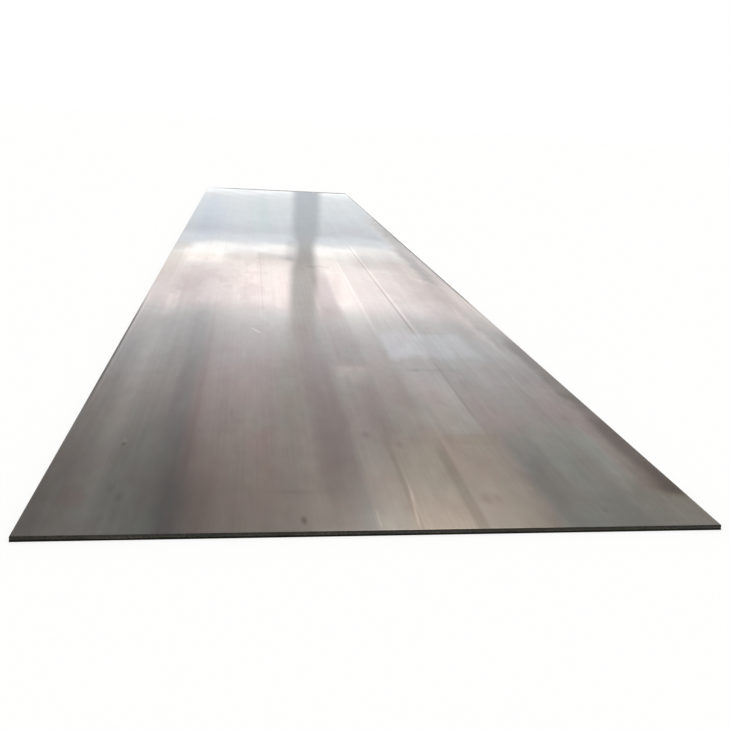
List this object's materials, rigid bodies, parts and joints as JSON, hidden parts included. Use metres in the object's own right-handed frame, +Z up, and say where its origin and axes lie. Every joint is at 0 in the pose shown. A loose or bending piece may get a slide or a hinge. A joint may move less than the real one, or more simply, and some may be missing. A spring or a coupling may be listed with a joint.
{
  "type": "steel plate",
  "caption": "Long flat rectangular plate of hot-rolled steel with sheared edges: raw stock to be cut, bent, drilled or welded into structures.",
  "frame": {"origin": "middle of the underside", "axes": "+Y along the length, which is the rolling direction, +X across the width, +Z up out of the top face"},
  "size_m": [2, 10, 0.016],
  "materials": {
    "mill_steel": "rolled mill finish, satin to glossy, with streaks along the rolling direction and thin oxide tints; edges dark and torn"
  },
  "bodies": {
    "root": {"steel_plate": "mill_steel"}
  },
  "joints": []
}
